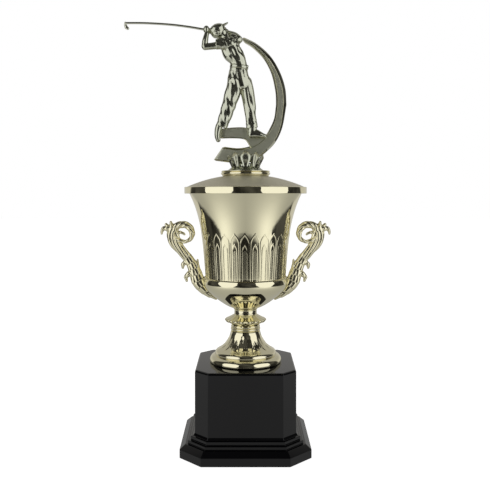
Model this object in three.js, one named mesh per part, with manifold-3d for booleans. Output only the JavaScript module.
// Cup trophy: a stepped eight-sided plinth, a two-handled cup with a lid, and a golfer on a crescent sweep.
// Millimetres, +Z up. The origin is on the cup's axis, at the underside of the felt.
import * as THREE from 'three';
import { mergeVertices } from 'three/addons/utils/BufferGeometryUtils.js';
import Module from 'manifold-3d';

const wasm = await Module();
wasm.setup();

// ---------- driving dimensions ----------
const clearance = 0.3; // between pieces that touch

// plinth: half widths are from the axis to a flat side
const feltThickness = 1.2;
const feltInset = 4;
const plinthHeight = 89.3; // from the moulding's lower edge to its top
const plinthTopHalfWidth = 52.3;
const plinthFootHalfWidth = 52.9;
const plinthCorner = 14.2; // corner cut of the top, measured along a side
const stepOneHalfWidth = 56.8;
const stepTwoHalfWidth = 59.9;
const skirtHalfWidth = 63.6;
const bandHalfWidth = 68.1;
const bandHeight = 7.7;
const skirtHeight = 12.1;
const stepTwoHeight = 16.2;
const stepOneHeight = 20.2;
const plinthFootHeight = 22.9;
const plinthWall = 3;
const plinthTopWall = 4;
const plateThickness = 2.5;
const weightHalfWidth = 44;
const weightHeight = 16;

// tie rod and its fasteners
const rodRadius = 3;
const rodStickOut = 3.5; // past each nut
const rodWasherRadius = 8;
const rodWasherThickness = 1.4;
const rodNutAcrossFlats = 10;
const rodNutThickness = 5;

// foot, stem and knop
const footRadius = 38.9;
const footLipHeight = 7.4;
const footCreaseRadius = 33; // where the rolled shoulder meets the lip
const footShoulderRadius = 28.7;
const footShoulderHeight = 11.6;
const footNeckRadius = 15.8;
const footHeight = 33;
const footWall = 2.2;
const stemRingRadius = 16;
const stemRingHeight = 6.8;
const knopRadius = 22;
const knopFootRadius = 15.9;
const knopHeight = 12.2;
const neckRadius = 12.9;
const neckHeight = 4.9;

// cup: radii of the outer face
const cupSeatRadius = 12.6;
const bulgeRadius = 45.3;
const waistRadius = 42.9;
const lipRadius = 60.9;
const bowlHeight = 28.1; // from the seat up to the widest part of the bulge
const bulgeHeight = 8.2; // from there up to the foot of the straight wall
const cupHeight = 125.3;
const cupWall = 1.6;
const cupFloor = 2.4;

// handles
const handleThickness = 8.4;
const handleScrewRadius = 1.4;
const handleScrewHeadRadius = 2.7;
const handleScrewHeadHeight = 1.8;
const handleScrewBite = 5; // depth of thread in the handle
const handleWasherRadius = 3.4;
const handleWasherThickness = 0.8;
const handleScrewLevel = 19.4; // of the lower screw, above the cup's seat
const bossMargin = 0.6; // of a screw boss beyond its washer
const bossGap = 0.8; // between the two bosses of a handle
const bossStand = 1.4; // how far a screw boss stands in from the cup's wall, at the least

// lid
const lidOverhang = 4;
const lidBandHeight = 5.2;
const lidDomeRise = 13.4;
const lidWall = 1.8;
const skirtDepth = 5.6;
const skirtWall = 1.8;
const skirtPlay = 1; // between the lid's skirt and the inside of the lip
const collarRadius = 26.2;
const collarTopRadius = 23.5;
const collarHeight = 6.3; // from the dome at the collar's edge to its top
const studRadius = 2;
const studWasherRadius = 6;
const studWasherThickness = 1;
const studNutAcrossFlats = 7;
const studNutThickness = 3.2;

// crown, sweep and golfer
const crownRadius = 18.8;
const crownWaistRadius = 15.3;
const crownLeafRadius = 19.4;
const crownHeight = 13.5;
const crownWaistHeight = 5.4;
const crownSolidHeight = 6.2;
const sweepThickness = 8;
const ledgeThickness = 8;
const sweepBevel = 0.9;
const golferOffset = 8.4; // how far the golfer stands in front of the sweep's middle plane
const shaftRadius = 1.05;
const shaftBite = 3; // length of shaft inside the hands
const clubHeadThickness = 3;

// how finely round shapes are cut
const fineSides = 36;
const coarseSides = 24;
const limbSides = 8;

// ---------- levels of the stack, from the table up ----------
const shellBottom = feltThickness + clearance;
const shellTop = shellBottom + plinthHeight;
const footBottom = shellTop + clearance;
const ringBottom = footBottom + footHeight + clearance;
const knopBottom = ringBottom + stemRingHeight + clearance;
const neckBottom = knopBottom + knopHeight + clearance;
const cupBottom = neckBottom + neckHeight + clearance;
const cupTop = cupBottom + cupHeight;
const lidBottom = cupTop + clearance;
const lidBandRadius = lipRadius + lidOverhang;
const lidShoulder = lidBottom + lidBandHeight;
const lidTop = lidShoulder + lidDomeRise;
const rodHole = rodRadius + clearance;
const studHole = studRadius + clearance;
const bossRadius = handleWasherRadius + bossMargin;

// ---------- helpers ----------
const { Vector2, Vector3 } = THREE;

function signedVolume(geometry) {
  const position = geometry.attributes.position;
  const index = geometry.index;
  const a = new Vector3();
  const b = new Vector3();
  const c = new Vector3();
  let volume = 0;
  for (let i = 0; i < index.count; i += 3) {
    a.fromBufferAttribute(position, index.getX(i));
    b.fromBufferAttribute(position, index.getX(i + 1));
    c.fromBufferAttribute(position, index.getX(i + 2));
    volume += a.dot(b.cross(c)) / 6;
  }
  return volume;
}

// One closed body with shared vertices and its faces pointing out.
function closed(geometry) {
  geometry.deleteAttribute('normal');
  geometry.deleteAttribute('uv');
  const merged = mergeVertices(geometry, 1e-3);
  if (signedVolume(merged) < 0) {
    const index = merged.index.array;
    for (let i = 0; i < index.length; i += 3) {
      [index[i], index[i + 1]] = [index[i + 1], index[i]];
    }
  }
  return merged;
}

function toSolid(geometry) {
  const merged = closed(geometry);
  const vertProperties = new Float32Array(merged.attributes.position.array);
  const triVerts = new Uint32Array(merged.index.array);
  return new wasm.Manifold(new wasm.Mesh({ numProp: 3, vertProperties, triVerts }));
}

function toGeometry(solid) {
  const mesh = solid.getMesh();
  const geometry = new THREE.BufferGeometry();
  geometry.setAttribute('position', new THREE.BufferAttribute(new Float32Array(mesh.vertProperties), 3));
  geometry.setIndex(new THREE.BufferAttribute(new Uint32Array(mesh.triVerts), 1));
  return geometry;
}

const joinAll = (geometries) => geometries.map(toSolid).reduce((sum, solid) => sum.add(solid));
const cutAll = (solid, geometries) => geometries.map(toSolid).reduce((left, tool) => left.subtract(tool), solid);

// Turns a profile of [radius, height] pairs about the Z axis.
function turned(profile, sides = fineSides) {
  const points = profile.map(([radius, height]) => new Vector2(radius, height));
  return new THREE.LatheGeometry(points, sides).rotateX(Math.PI / 2);
}

// The same for a ring whose profile closes on itself.
const turnedRing = (profile, sides) => turned([...profile, profile[0]], sides);

function bezier(start, pullOne, pullTwo, end, steps) {
  const curve = new THREE.CubicBezierCurve(
    new Vector2(...start), new Vector2(...pullOne), new Vector2(...pullTwo), new Vector2(...end),
  );
  return curve.getPoints(steps).map((point) => [point.x, point.y]);
}

// Moves a profile sideways by a wall thickness, to the left of its direction of travel.
function inset(profile, wall) {
  return profile.map((point, i) => {
    const before = profile[Math.max(i - 1, 0)];
    const after = profile[Math.min(i + 1, profile.length - 1)];
    const along = new Vector2(after[0] - before[0], after[1] - before[1]).normalize();
    return [point[0] - along.y * wall, point[1] + along.x * wall];
  });
}

function rod(radius, bottom, top, sides = coarseSides) {
  return new THREE.CylinderGeometry(radius, radius, top - bottom, sides)
    .rotateX(Math.PI / 2)
    .translate(0, 0, (top + bottom) / 2);
}

function ringPlate(outer, inner, bottom, top, sides = coarseSides) {
  return turnedRing([[inner, bottom], [outer, bottom], [outer, top], [inner, top]], sides);
}

function hexNut(acrossFlats, bore, bottom, thickness) {
  const shape = new THREE.Shape();
  for (let i = 0; i < 6; i += 1) {
    const angle = (i * Math.PI) / 3;
    const corner = acrossFlats / Math.sqrt(3);
    const place = [corner * Math.cos(angle), corner * Math.sin(angle)];
    if (i === 0) {
      shape.moveTo(...place);
    } else {
      shape.lineTo(...place);
    }
  }
  shape.closePath();
  shape.holes.push(new THREE.Path().absarc(0, 0, bore, 0, Math.PI * 2, true));
  const settings = { depth: thickness, bevelEnabled: false, curveSegments: 12 };
  return new THREE.ExtrudeGeometry(shape, settings).translate(0, 0, bottom);
}

// Skins a row of equal rings of points and closes both ends.
function skinned(rings) {
  const count = rings[0].length;
  const positions = rings.flat().flatMap((point) => [point.x, point.y, point.z]);
  const index = [];
  for (let r = 0; r < rings.length - 1; r += 1) {
    for (let i = 0; i < count; i += 1) {
      const a = r * count + i;
      const b = r * count + ((i + 1) % count);
      index.push(a, b, b + count, a, b + count, a + count);
    }
  }
  const last = (rings.length - 1) * count;
  for (let i = 1; i < count - 1; i += 1) {
    index.push(0, i + 1, i, last, last + i, last + i + 1);
  }
  const geometry = new THREE.BufferGeometry();
  geometry.setAttribute('position', new THREE.Float32BufferAttribute(positions, 3));
  geometry.setIndex(index);
  return geometry;
}

// The plinth's eight-sided outline: growing it keeps all eight sides parallel.
function octagon(halfWidth, height) {
  const corner = plinthCorner + (2 - Math.SQRT2) * (halfWidth - plinthTopHalfWidth);
  const near = halfWidth - corner;
  return [
    [halfWidth, near], [near, halfWidth], [-near, halfWidth], [-halfWidth, near],
    [-halfWidth, -near], [-near, -halfWidth], [near, -halfWidth], [halfWidth, -near],
  ].map(([x, y]) => new Vector3(x, y, height));
}

const octagonStack = (levels) => skinned(levels.map(([halfWidth, height]) => octagon(halfWidth, height)));

// A tapering bar of oval section along a smooth line in the XZ plane.
// Each stop is [x, z, half width in the plane, half depth across it].
function bar(stops, steps, sides = limbSides) {
  const line = new THREE.CatmullRomCurve3(stops.map(([x, z]) => new Vector3(x, 0, z)), false, 'centripetal');
  const rings = [];
  for (let s = 0; s <= steps; s += 1) {
    const t = s / steps;
    const place = line.getPoint(t);
    const along = line.getTangent(t);
    const across = new Vector3(along.z, 0, -along.x);
    const spot = Math.min(t * (stops.length - 1), stops.length - 1 - 1e-9);
    const first = stops[Math.floor(spot)];
    const second = stops[Math.floor(spot) + 1];
    const mix = spot - Math.floor(spot);
    const width = THREE.MathUtils.lerp(first[2], second[2], mix);
    const depth = THREE.MathUtils.lerp(first[3], second[3], mix);
    rings.push(Array.from({ length: sides }, (_, i) => {
      const angle = (i / sides) * Math.PI * 2;
      const point = place.clone().addScaledVector(across, width * Math.cos(angle));
      point.y += depth * Math.sin(angle);
      return point;
    }));
  }
  return skinned(rings);
}

// A limb with round ends between two points.
function limb(from, to, fromRadius, toRadius) {
  const start = new Vector3(...from);
  const end = new Vector3(...to);
  const length = start.distanceTo(end);
  const profile = [
    [0, -fromRadius], [fromRadius * 0.7, -fromRadius * 0.7], [fromRadius, 0],
    [toRadius, length], [toRadius * 0.7, length + toRadius * 0.7], [0, length + toRadius],
  ];
  const turn = new THREE.Quaternion().setFromUnitVectors(
    new Vector3(0, 0, 1),
    end.clone().sub(start).normalize(),
  );
  return turned(profile, limbSides).applyQuaternion(turn).translate(...from);
}

// ---------- materials ----------
const paleGold = { color: 0xbdb48c, roughness: 0.08, metalness: 1 };
const silverGold = { color: 0xb4b29a, roughness: 0.12, metalness: 1 };
const glossBlack = { color: 0x0c0c0d, roughness: 0.08, metalness: 0 };
const zincSteel = { color: 0x9a9c9e, roughness: 0.4, metalness: 1 };
const castIron = { color: 0x3c3c3c, roughness: 0.8, metalness: 0.5 };
const darkBoard = { color: 0x241f1b, roughness: 0.9, metalness: 0 };
const blackFelt = { color: 0x101010, roughness: 1, metalness: 0 };

const trophy = new THREE.Group();

function place(name, geometry, finish, group = trophy) {
  const mesh = new THREE.Mesh(closed(geometry), new THREE.MeshStandardMaterial(finish));
  mesh.name = name;
  group.add(mesh);
  return mesh;
}

// ---------- plinth ----------
function makePlinth() {
  const outside = octagonStack([
    [bandHalfWidth, shellBottom],
    [bandHalfWidth, shellBottom + bandHeight],
    [skirtHalfWidth, shellBottom + skirtHeight],
    [stepTwoHalfWidth, shellBottom + skirtHeight + 0.2],
    [stepTwoHalfWidth, shellBottom + stepTwoHeight],
    [stepOneHalfWidth, shellBottom + stepTwoHeight + 0.6],
    [stepOneHalfWidth, shellBottom + stepOneHeight],
    [plinthFootHalfWidth, shellBottom + plinthFootHeight],
    [plinthTopHalfWidth, shellTop],
  ]);
  const hollow = octagonStack([
    [bandHalfWidth - plinthWall, shellBottom - 1],
    [bandHalfWidth - plinthWall, shellBottom + bandHeight - plinthWall],
    [plinthFootHalfWidth - plinthWall, shellBottom + skirtHeight - plinthWall],
    [plinthTopHalfWidth - plinthWall, shellTop - plinthTopWall],
  ]);
  const shell = cutAll(toSolid(outside), [hollow, rod(rodHole, shellTop - 2 * plinthTopWall, shellTop + 1)]);
  place('base_shell', toGeometry(shell), glossBlack);

  const plateTop = shellBottom + plateThickness;
  const plateHalfWidth = bandHalfWidth - plinthWall - clearance;
  place('base_plate', octagonStack([[plateHalfWidth, shellBottom], [plateHalfWidth, plateTop]]), darkBoard);
  const weightBottom = plateTop + clearance;
  const weightTop = weightBottom + weightHeight;
  place('base_weight', octagonStack([[weightHalfWidth, weightBottom], [weightHalfWidth, weightTop]]), castIron);
  const feltHalfWidth = bandHalfWidth - feltInset;
  place('felt_pad', octagonStack([[feltHalfWidth, 0], [feltHalfWidth, feltThickness]]), blackFelt);
}

// ---------- tie rod ----------
function makeTieRod() {
  const lowerWasherTop = shellTop - plinthTopWall - clearance;
  const lowerNutTop = lowerWasherTop - rodWasherThickness - clearance;
  const rodBottom = lowerNutTop - rodNutThickness - rodStickOut;
  const upperWasherBottom = cupBottom + cupFloor + clearance;
  const upperNutBottom = upperWasherBottom + rodWasherThickness + clearance;
  const rodTop = upperNutBottom + rodNutThickness + rodStickOut;
  const lowerWasherBottom = lowerWasherTop - rodWasherThickness;
  const upperWasherTop = upperWasherBottom + rodWasherThickness;
  const lowerNutBottom = lowerNutTop - rodNutThickness;
  place('tie_rod', rod(rodRadius, rodBottom, rodTop), zincSteel);
  place('rod_washer_lower', ringPlate(rodWasherRadius, rodHole, lowerWasherBottom, lowerWasherTop), zincSteel);
  place('rod_nut_lower', hexNut(rodNutAcrossFlats, rodHole, lowerNutBottom, rodNutThickness), zincSteel);
  place('rod_washer_upper', ringPlate(rodWasherRadius, rodHole, upperWasherBottom, upperWasherTop), zincSteel);
  place('rod_nut_upper', hexNut(rodNutAcrossFlats, rodHole, upperNutBottom, rodNutThickness), zincSteel);
}

// ---------- foot and stem ----------
function makeFoot() {
  const shoulder = footBottom + footShoulderHeight;
  const lip = footBottom + footLipHeight;
  const top = footBottom + footHeight;
  const trumpet = bezier(
    [footShoulderRadius, shoulder],
    [footShoulderRadius - 5, shoulder + 3],
    [footNeckRadius + 1.4, top - 9],
    [footNeckRadius, top],
    5,
  );
  const outer = [
    [footRadius - 1.3, footBottom],
    [footRadius - 0.3, footBottom + 1.2],
    [footRadius, footBottom + 2.8],
    [footRadius - 0.7, footBottom + 4.8],
    [footRadius - 2.6, lip - 0.8],
    [footCreaseRadius + 1.2, lip],
    ...bezier(
      [footCreaseRadius, lip + 0.5],
      [footCreaseRadius, lip + 2.2],
      [footShoulderRadius + 1.6, shoulder - 1.3],
      [footShoulderRadius, shoulder],
      3,
    ),
    ...trumpet.slice(1),
  ];
  const hollow = inset(outer.slice(5), footWall)
    .filter(([radius, height], i) => i % 2 === 0 && radius > rodHole + 1 && height < top - footWall)
    .reverse();
  place('foot', turnedRing([
    ...outer,
    [rodHole, top],
    [rodHole, top - 2 * footWall],
    ...hollow,
    [footRadius - 2 * footWall, footBottom],
  ], 28), paleGold);
}

function makeStem() {
  const ringTop = ringBottom + stemRingHeight;
  const bead = stemRingHeight / 4;
  place('stem_ring', turnedRing([
    [rodHole, ringBottom],
    [stemRingRadius - 0.5, ringBottom],
    [stemRingRadius, ringBottom + bead * 0.5],
    [stemRingRadius, ringBottom + bead * 1.4],
    [stemRingRadius - 0.7, ringBottom + bead * 2],
    [stemRingRadius - 0.2, ringBottom + bead * 2.6],
    [stemRingRadius - 0.2, ringBottom + bead * 3.4],
    [stemRingRadius - 0.7, ringTop],
    [rodHole, ringTop],
  ], coarseSides), paleGold);

  const knopTop = knopBottom + knopHeight;
  const widest = knopBottom + knopHeight * 0.42;
  place('leaf_knop', turnedRing([
    [rodHole, knopBottom],
    [knopFootRadius, knopBottom],
    ...bezier([knopFootRadius + 0.6, knopBottom + 0.9], [knopRadius - 2, widest - 3], [knopRadius, widest - 1.5],
      [knopRadius, widest], 3),
    ...bezier([knopRadius - 0.4, widest + 1], [knopRadius - 1.5, widest + 3], [neckRadius + 1, knopTop - 3],
      [neckRadius, knopTop], 5),
    [rodHole, knopTop],
  ], coarseSides), paleGold);

  const neckTop = neckBottom + neckHeight;
  place('neck_collar', turnedRing([
    [rodHole, neckBottom],
    [neckRadius, neckBottom],
    [neckRadius - 0.2, neckBottom + neckHeight / 2],
    [neckRadius, neckTop],
    [rodHole, neckTop],
  ], coarseSides), paleGold);
}

// ---------- cup ----------
const bulgeLevel = cupBottom + bowlHeight;
const wallFoot = bulgeLevel + bulgeHeight;

// The wall leaves the waist almost straight and flares ever faster towards the lip.
const flareRadius = (rise) => waistRadius + (lipRadius - waistRadius) * (0.35 * rise + 0.65 * rise ** 3.6);

function cupOutside() {
  const bowlSpan = bulgeRadius - cupSeatRadius;
  const bowl = bezier(
    [cupSeatRadius, cupBottom],
    [cupSeatRadius + 0.29 * bowlSpan, cupBottom + 0.2 * bowlHeight],
    [bulgeRadius - 0.02 * bowlSpan, cupBottom + 0.52 * bowlHeight],
    [bulgeRadius, bulgeLevel],
    6,
  );
  const bulge = bezier(
    [bulgeRadius, bulgeLevel],
    [bulgeRadius, bulgeLevel + 0.35 * bulgeHeight],
    [waistRadius + 1.9, wallFoot - 0.3 * bulgeHeight],
    [waistRadius, wallFoot],
    3,
  );
  const wall = [0.25, 0.5, 0.68, 0.82, 0.92, 1]
    .map((rise) => [flareRadius(rise), THREE.MathUtils.lerp(wallFoot, cupTop, rise)]);
  return [...bowl, ...bulge.slice(1), ...wall];
}

function cupHollow() {
  const floor = cupBottom + cupFloor;
  return inset(cupOutside().slice(1), cupWall)
    .filter(([radius, height]) => radius > 8 && height > floor && height < cupTop - cupWall);
}

// The solid shape of the cup's outside, a clearance larger, for cutting what sits against it.
function cupTool() {
  const grown = inset(cupOutside(), -clearance);
  return turned([[0, cupBottom - 1], [grown[0][0], cupBottom - 1], ...grown, [0, cupTop + 1]]);
}

function radiusAt(profile, height) {
  const after = profile.findIndex((point) => point[1] > height);
  const [r0, z0] = profile[after - 1];
  const [r1, z1] = profile[after];
  return THREE.MathUtils.lerp(r0, r1, (height - z0) / (z1 - z0));
}

// Every handle screw lies across the cup, at a side and a height.
const screwRises = { lower: handleScrewLevel, upper: handleScrewLevel + 2 * bossRadius + bossGap };
const screwSpots = Object.entries(screwRises).flatMap(([level, rise]) => {
  const height = cupBottom + rise;
  const wallRadius = radiusAt(cupOutside(), height);
  const edges = [height - bossRadius, height + bossRadius].map((edge) => radiusAt(cupHollow(), edge));
  const bossFace = Math.min(...edges) - bossStand;
  return [['left', -1], ['right', 1]].map(([side, sign]) => ({ side, sign, level, height, wallRadius, bossFace }));
});

// A round bar from one distance to another out from the axis, on one side of the cup.
function sideBar(spot, radius, near, far, sides = 12) {
  return new THREE.CylinderGeometry(radius, radius, far - near, sides)
    .rotateZ(Math.PI / 2)
    .translate((spot.sign * (near + far)) / 2, 0, spot.height);
}

function makeCup() {
  const floor = cupBottom + cupFloor;
  const hollow = cupHollow().reverse();
  const lip = cupOutside().at(-1);
  const shell = turnedRing([
    [rodHole, cupBottom],
    ...cupOutside(),
    [lip[0] - cupWall * 0.5, cupTop],
    ...hollow,
    [rodWasherRadius + 1, floor],
    [rodHole, floor],
  ]);
  const bosses = screwSpots.map((spot) => sideBar(spot, bossRadius, spot.bossFace, spot.wallRadius));
  const outline = toSolid(turned([[0, cupBottom], ...cupOutside(), [0, cupTop]]));
  const bossed = toSolid(shell).add(joinAll(bosses).intersect(outline));
  const holes = screwSpots.map((spot) => {
    return sideBar(spot, handleScrewRadius + clearance, spot.bossFace - 1, lipRadius);
  });
  place('cup', toGeometry(cutAll(bossed, holes)), paleGold);
}

// ---------- handles ----------
// Distances out from the cup's waist or its bulge, and up from the bulge's shoulder: a handle follows the cup.
const out = (distance) => waistRadius + distance;
const under = (distance) => bulgeRadius + distance;
const up = (distance) => bulgeLevel + bulgeHeight / 2 + distance;

function makeHandles() {
  const deep = handleThickness / 2;
  // toe under the bowl, arm and neck, up to the head
  const arm = bar([
    [under(-14.2), up(-23.2), 1, deep * 0.5],
    [under(-4.7), up(-18.5), 3.4, deep * 0.8],
    [under(3.3), up(-9), 6, deep],
    [out(10.6), up(3), 7.4, deep],
    [out(15), up(14.6), 7.6, deep],
    [out(21.9), up(25.4), 5.2, deep * 0.9],
    [out(30), up(34.6), 5.2, deep * 0.9],
    [out(35), up(43.4), 6.6, deep],
    [out(35), up(51.5), 6.4, deep],
    [out(30), up(56), 4.6, deep],
  ], 14);
  // the scroll runs over the top towards the cup and curls in on itself
  const scrollRun = (fromShare, toShare, steps) => bar(Array.from({ length: 7 }, (_, i) => {
    const share = THREE.MathUtils.lerp(fromShare, toShare, i / 6);
    const turn = THREE.MathUtils.degToRad(35 + share * 460);
    const radius = 8.8 - 6 * share ** 3;
    const width = 3.4 * (1 - 0.72 * share ** 1.5);
    return [out(22.1) + radius * Math.cos(turn), up(49.8) + radius * Math.sin(turn), width, deep * (1 - 0.5 * share)];
  }), steps);
  const scroll = scrollRun(0, 0.6, 12);
  const curl = scrollRun(0.55, 1, 8);
  const beak = bar([
    [out(36), up(50), 3.4, deep * 0.7],
    [out(43.5), up(54.5), 3, deep * 0.6],
    [out(47), up(51.5), 1.8, deep * 0.4],
    [out(47.3), up(46.6), 0.6, 0.6],
  ], 6);
  const crests = [[out(43.4), up(59)], [out(38), up(61.4)]].map(([x, z]) => (
    bar([[out(37), up(52), 2.8, deep * 0.5], [x, z, 0.8, 0.8]], 2)
  ));
  const claws = [
    [[out(17), up(17), 3.2], [out(24), up(16), 2.2], [out(25.4), up(9.6), 0.9]],
    [[out(13), up(5), 3.2], [out(20), up(2.4), 2.2], [out(21.5), up(-4.6), 0.9]],
  ].map((stops) => bar(stops.map(([x, z, width]) => [x, z, width, width]), 4));
  const leafTip = bar([[out(13), up(14), 3, deep * 0.6], [out(8.5), up(20.6), 0.7, 0.9]], 2);
  const upperToe = bar([[out(8), up(-5), 3.6, deep * 0.9], [out(-0.4), up(2), 1.8, deep * 0.6]], 2);
  const pieces = [arm, scroll, curl, beak, ...crests, ...claws, leafTip, upperToe];
  const whole = joinAll(pieces).subtract(toSolid(cupTool()));
  const right = cutAll(whole, screwSpots.filter((spot) => spot.side === 'right').map((spot) => (
    sideBar(spot, handleScrewRadius + clearance, spot.wallRadius - 2, spot.wallRadius + handleScrewBite + 1)
  )));
  place('handle_right', toGeometry(right), paleGold);
  place('handle_left', toGeometry(right).scale(-1, 1, 1), paleGold);
}

function makeHandleScrews() {
  for (const spot of screwSpots) {
    const washerOut = spot.bossFace - clearance;
    const washerIn = washerOut - handleWasherThickness;
    const headOut = washerIn - clearance;
    const headIn = headOut - handleScrewHeadHeight;
    const tip = spot.wallRadius + handleScrewBite;
    const name = `${spot.side}_${spot.level}`;
    const turnOut = (geometry) => geometry
      .rotateY((spot.sign * Math.PI) / 2)
      .translate(0, 0, spot.height);
    const screw = turned([
      [0, headIn],
      [handleScrewHeadRadius * 0.7, headIn],
      [handleScrewHeadRadius, headIn + handleScrewHeadHeight * 0.4],
      [handleScrewHeadRadius, headOut],
      [handleScrewRadius, headOut],
      [handleScrewRadius, tip],
      [0, tip],
    ], 16);
    place(`handle_screw_${name}`, turnOut(screw), zincSteel);
    const washerHole = handleScrewRadius + clearance;
    place(`handle_washer_${name}`, turnOut(ringPlate(handleWasherRadius, washerHole, washerIn, washerOut, 16)), zincSteel);
  }
}

// ---------- lid ----------
const domeHalfWidth = lidBandRadius - 2.6;
const domeRadius = (domeHalfWidth ** 2 + lidDomeRise ** 2) / (2 * lidDomeRise);

// Height of the lid's dome at a distance from the axis, for a skin moved out by some thickness.
const domeHeight = (radius, grow = 0) => lidTop - domeRadius + Math.sqrt((domeRadius + grow) ** 2 - radius ** 2);

function makeLid() {
  const skirtOuter = Math.min(...cupHollow().filter(([, height]) => height > cupTop - skirtDepth - 4)
    .map(([radius]) => radius)) - skirtPlay;
  const skirtInner = skirtOuter - skirtWall;
  const domeStops = [1, 0.8, 0.6, 0.4, 0.2];
  const outer = domeStops.map((share) => [domeHalfWidth * share, domeHeight(domeHalfWidth * share)]);
  const inner = domeStops.slice(1).map((share) => {
    const radius = Math.min(domeHalfWidth * share, skirtInner);
    return [radius, domeHeight(radius, -lidWall)];
  }).reverse();
  place('lid', turnedRing([
    [skirtInner, cupTop - skirtDepth],
    [skirtOuter, cupTop - skirtDepth],
    [skirtOuter, lidBottom],
    [lidBandRadius - 0.6, lidBottom],
    [lidBandRadius, lidBottom + 0.6],
    [lidBandRadius, lidShoulder - 0.6],
    [lidBandRadius - 0.6, lidShoulder],
    ...outer,
    [studHole, domeHeight(studHole)],
    [studHole, domeHeight(studHole, -lidWall)],
    ...inner,
  ]), paleGold);
}

const collarTop = domeHeight(collarRadius) + collarHeight;
const crownBottom = collarTop + clearance;

function makeLidCollar() {
  place('lid_collar', turnedRing([
    [studHole, domeHeight(studHole, clearance)],
    [collarRadius * 0.5, domeHeight(collarRadius * 0.5, clearance)],
    [collarRadius - 0.4, domeHeight(collarRadius - 0.4, clearance)],
    [collarRadius, domeHeight(collarRadius, clearance) + 0.6],
    [collarRadius - 0.5, collarTop - 3.1],
    [collarTopRadius + 1.5, collarTop - 2.4],
    [collarTopRadius + 1.2, collarTop - 1],
    [collarTopRadius, collarTop],
    [studHole, collarTop],
  ], 32), paleGold);
}

function makeLidFasteners() {
  const washerTop = domeHeight(studWasherRadius, -lidWall) - clearance;
  const washerBottom = washerTop - studWasherThickness;
  const nutBottom = washerBottom - clearance - studNutThickness;
  place('lid_washer', ringPlate(studWasherRadius, studHole, washerBottom, washerTop), zincSteel);
  place('lid_nut', hexNut(studNutAcrossFlats, studHole, nutBottom, studNutThickness), zincSteel);
  place('lid_stud', rod(studRadius, nutBottom - 2, crownBottom + crownSolidHeight - 2, 16), zincSteel);
}

// ---------- figure: crown, sweep, golfer and club ----------
const armBottom = crownBottom + crownSolidHeight + clearance;

// Heights in the figure are measured from the lower edge of the sweep's arm.
const lift = (height) => armBottom + height;

function sweepOutline(grow) {
  const shape = new THREE.Shape();
  shape.moveTo(-33.6 - grow, lift(2.4 - grow));
  shape.lineTo(-8, lift(-grow));
  shape.splineThru([
    [6 + grow, 3 - grow], [19.5 + grow, 9.6 - grow], [31.2 + grow, 21.2], [39 + grow, 37.5], [43 + grow, 64],
    [39.6 + grow, 86], [26 + grow, 111.6], [-3.6, 131 + grow],
  ].map(([x, z]) => new Vector2(x, lift(z))));
  shape.lineTo(-4.2 - grow, lift(128));
  shape.splineThru([
    [10.8 - grow, 117.6], [25.4 - grow, 98], [32 - grow, 69.2], [29.4 - grow, 45.2], [22.6 - grow, 31], [4, 17 + grow],
  ].map(([x, z]) => new Vector2(x, lift(z))));
  shape.lineTo(-24 - grow, lift(16.9 + grow));
  shape.closePath();
  return shape;
}

function ledgeOutline(grow) {
  const shape = new THREE.Shape();
  shape.moveTo(-26.6 - grow, lift(25.8 - grow));
  shape.lineTo(-4, lift(25.8 - grow));
  shape.quadraticCurveTo(2.6 - grow, lift(25 - grow), 3 - grow, lift(15));
  shape.lineTo(14, lift(20));
  shape.lineTo(30, lift(28));
  shape.lineTo(30 + grow, lift(30));
  shape.lineTo(9, lift(34.8 + grow));
  shape.lineTo(-3, lift(37.3 + grow));
  shape.lineTo(-26.6 - grow, lift(35.8 + grow));
  shape.closePath();
  return shape;
}

// Raises a flat outline drawn in XZ into a plate centred on the XZ plane.
function plate(shape, thickness, bevel, curveSegments) {
  const depth = thickness - 2 * bevel;
  const settings = {
    depth, curveSegments, bevelEnabled: bevel > 0, bevelThickness: bevel, bevelSize: bevel, bevelOffset: -bevel,
    bevelSegments: 1,
  };
  return new THREE.ExtrudeGeometry(shape, settings)
    .translate(0, 0, -depth / 2)
    .rotateX(Math.PI / 2);
}

function makeCrown() {
  const crown = toSolid(turned([
    [0, crownBottom],
    [crownRadius, crownBottom],
    [crownRadius - 0.4, crownBottom + 1.2],
    [crownWaistRadius + 0.6, crownBottom + crownWaistHeight * 0.7],
    [crownWaistRadius, crownBottom + crownWaistHeight],
    [crownWaistRadius + 1, crownBottom + crownHeight * 0.62],
    [crownLeafRadius, crownBottom + crownHeight],
    [crownLeafRadius - 3, crownBottom + crownHeight - 0.6],
    [crownWaistRadius - 2, crownBottom + crownHeight * 0.66],
    [0, crownBottom + crownSolidHeight + 1],
  ], 32));
  const slot = plate(sweepOutline(clearance), sweepThickness + 2 * clearance, 0, 4);
  const blind = rod(studHole, crownBottom - 1, crownBottom + crownSolidHeight - 2 + clearance, 16);
  place('leaf_crown', toGeometry(cutAll(crown, [slot, blind])), silverGold);
}

function makeSweep() {
  const crescent = plate(sweepOutline(0), sweepThickness, sweepBevel, 4);
  const ledge = plate(ledgeOutline(0), ledgeThickness, sweepBevel, 4);
  place('sweep', toGeometry(joinAll([crescent, ledge])), silverGold);
}

const hands = new Vector3(-40.2, -golferOffset, lift(137.2));

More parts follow.
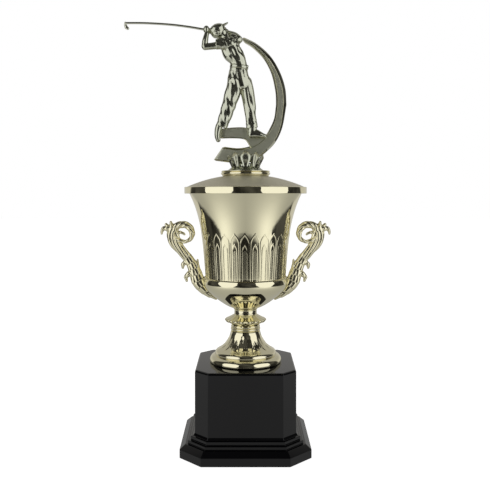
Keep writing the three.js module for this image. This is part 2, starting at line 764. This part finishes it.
function makeGolfer() {
  const at = (x, height, forward = 0) => [x, -golferOffset - forward, lift(height)];
  const parts = [
    // head, cap and brim
    limb(at(-28.5, 134), at(-26.6, 137.5), 6.2, 6.4),
    limb(at(-28.4, 138), at(-26.8, 140), 6.2, 5),
    limb(at(-24, 141.5), at(-18.6, 144), 2, 0.9),
    limb(at(-24, 129), at(-18, 124), 4, 5),
    // trunk
    limb(at(-19.5, 121, 1), at(-9, 126, -1), 6, 6),
    limb(at(-14, 119), at(-8.5, 106), 8.6, 8),
    limb(at(-8.4, 101), at(-9, 90), 8.2, 9),
    // near arm and far arm
    limb(at(-23, 121, 2), at(-41.5, 119.5, 1), 4.2, 3),
    limb(at(-41.5, 119.5, 1), at(-40.6, 135, 1), 3.1, 2.4),
    limb(at(-6.5, 127.5), at(-18, 130, 3), 4.2, 3.4),
    limb(at(-18, 130, 3), at(-37, 137, 2), 3.2, 2.4),
    limb(at(-40.6, 135.8), at(-40, 138), 3.8, 3.6),
    // rear leg, on its toes
    limb(at(-13, 90), at(-17.4, 60, 1), 7.2, 5),
    limb(at(-17.4, 60, 1), at(-25.6, 38, 0), 5.2, 3.8),
    limb(at(-27.6, 36), at(-28.2, 25.5), 3, 2.6),
    // front leg and shoe
    limb(at(-3, 89), at(3.6, 58), 6.6, 5.2),
    limb(at(3.6, 58), at(6.2, 36), 5.2, 4.2),
    limb(at(6, 32), at(19.4, 29.4, 2), 3.6, 2.2),
  ];
  const room = [
    plate(sweepOutline(clearance), sweepThickness + 2 * clearance, 0, 4),
    plate(ledgeOutline(clearance), ledgeThickness + 2 * clearance, 0, 4),
    grip(shaftRadius + clearance, shaftBite + clearance),
  ];
  place('golfer', toGeometry(cutAll(joinAll(parts), room)), silverGold);
}

const clubEnd = hands.clone().add(new Vector3(-80.4, 0, 6.6));

// The shaft bows slightly upward between the hands and the head of the club.
function shaftLine(bite) {
  const start = hands.clone().add(new Vector3(-3.4 + bite, 0, 0.8 - bite * 0.1));
  const middle = start.clone().lerp(clubEnd, 0.5).add(new Vector3(0, 0, 4));
  return new THREE.QuadraticBezierCurve3(start, middle, clubEnd);
}

function shaftAlong(line, radius, steps) {
  const section = new THREE.Shape().absarc(0, 0, radius, 0, Math.PI * 2);
  return new THREE.ExtrudeGeometry(section, { steps, curveSegments: 4, extrudePath: line, bevelEnabled: false });
}

function grip(radius, bite) {
  const line = shaftLine(bite);
  const from = line.getPoint(0);
  const to = line.getPoint(0.14);
  return shaftAlong(new THREE.LineCurve3(from, to), radius, 1);
}

function makeClub() {
  place('club_shaft', shaftAlong(shaftLine(shaftBite), shaftRadius, 14), silverGold);
  const top = clubEnd.z + shaftRadius;
  const left = clubEnd.x - clearance;
  const shape = new THREE.Shape();
  shape.moveTo(left, top);
  shape.lineTo(left - 3.6, top - 0.4);
  shape.lineTo(left - 4.4, top - 2.4);
  shape.lineTo(left - 1, top - 7.6);
  shape.lineTo(left + 2, top - 8.6);
  shape.lineTo(left + 3, top - 7);
  shape.lineTo(left, top - 3.4);
  shape.closePath();
  const head = plate(shape, clubHeadThickness, 0, 2).translate(0, hands.y, 0);
  place('club_head', head, silverGold);
}

makePlinth();
makeTieRod();
makeFoot();
makeStem();
makeCup();
makeHandles();
makeHandleScrews();
makeLid();
makeLidCollar();
makeLidFasteners();
makeCrown();
makeSweep();
makeGolfer();
makeClub();

export default trophy;
